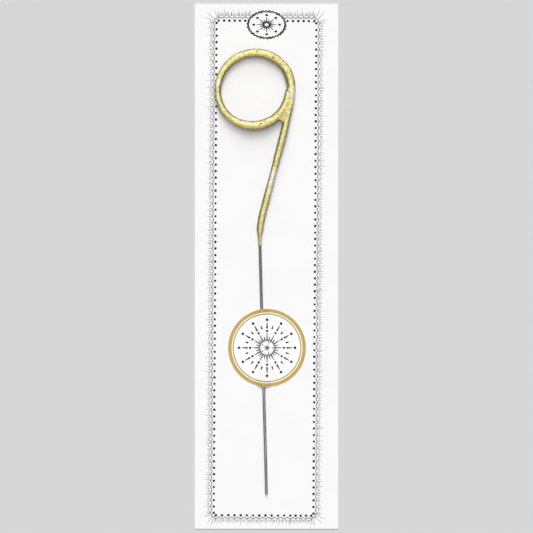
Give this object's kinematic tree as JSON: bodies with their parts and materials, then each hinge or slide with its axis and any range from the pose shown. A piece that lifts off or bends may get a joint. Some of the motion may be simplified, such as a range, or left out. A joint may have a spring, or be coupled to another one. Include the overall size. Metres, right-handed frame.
{
  "type": "carded numeral sparkler",
  "caption": "Gold-coated numeral 9 hand sparkler on a bare steel wire stick, held on a flat backing card by a round paper seal.",
  "frame": {"origin": "middle of the card's underside, on the surface that the card lies on", "axes": "+X across the card to the right, +Y up the card from the stick's tip to the numeral, +Z out of the card's face"},
  "size_m": [0.0762, 0.2794, 0.0067],
  "materials": {
    "card_stock": "smooth white card, lightly printed",
    "seal_paper": "white label paper with a gold band",
    "steel_wire": "drawn, bare",
    "gold_coat": "granular dried composition with a gold tint"
  },
  "bodies": {
    "card": {"backing_card": "card_stock", "round_seal": "seal_paper"},
    "wand": {"wire_core": "steel_wire", "composition_coat": "gold_coat"}
  },
  "joints": [
    {"name": "wand_pull_out", "type": "slide", "parent": "card", "child": "wand", "axis": [-0.0262, 0.9997, 0], "range_m": [0, 0.102]}
  ]
}
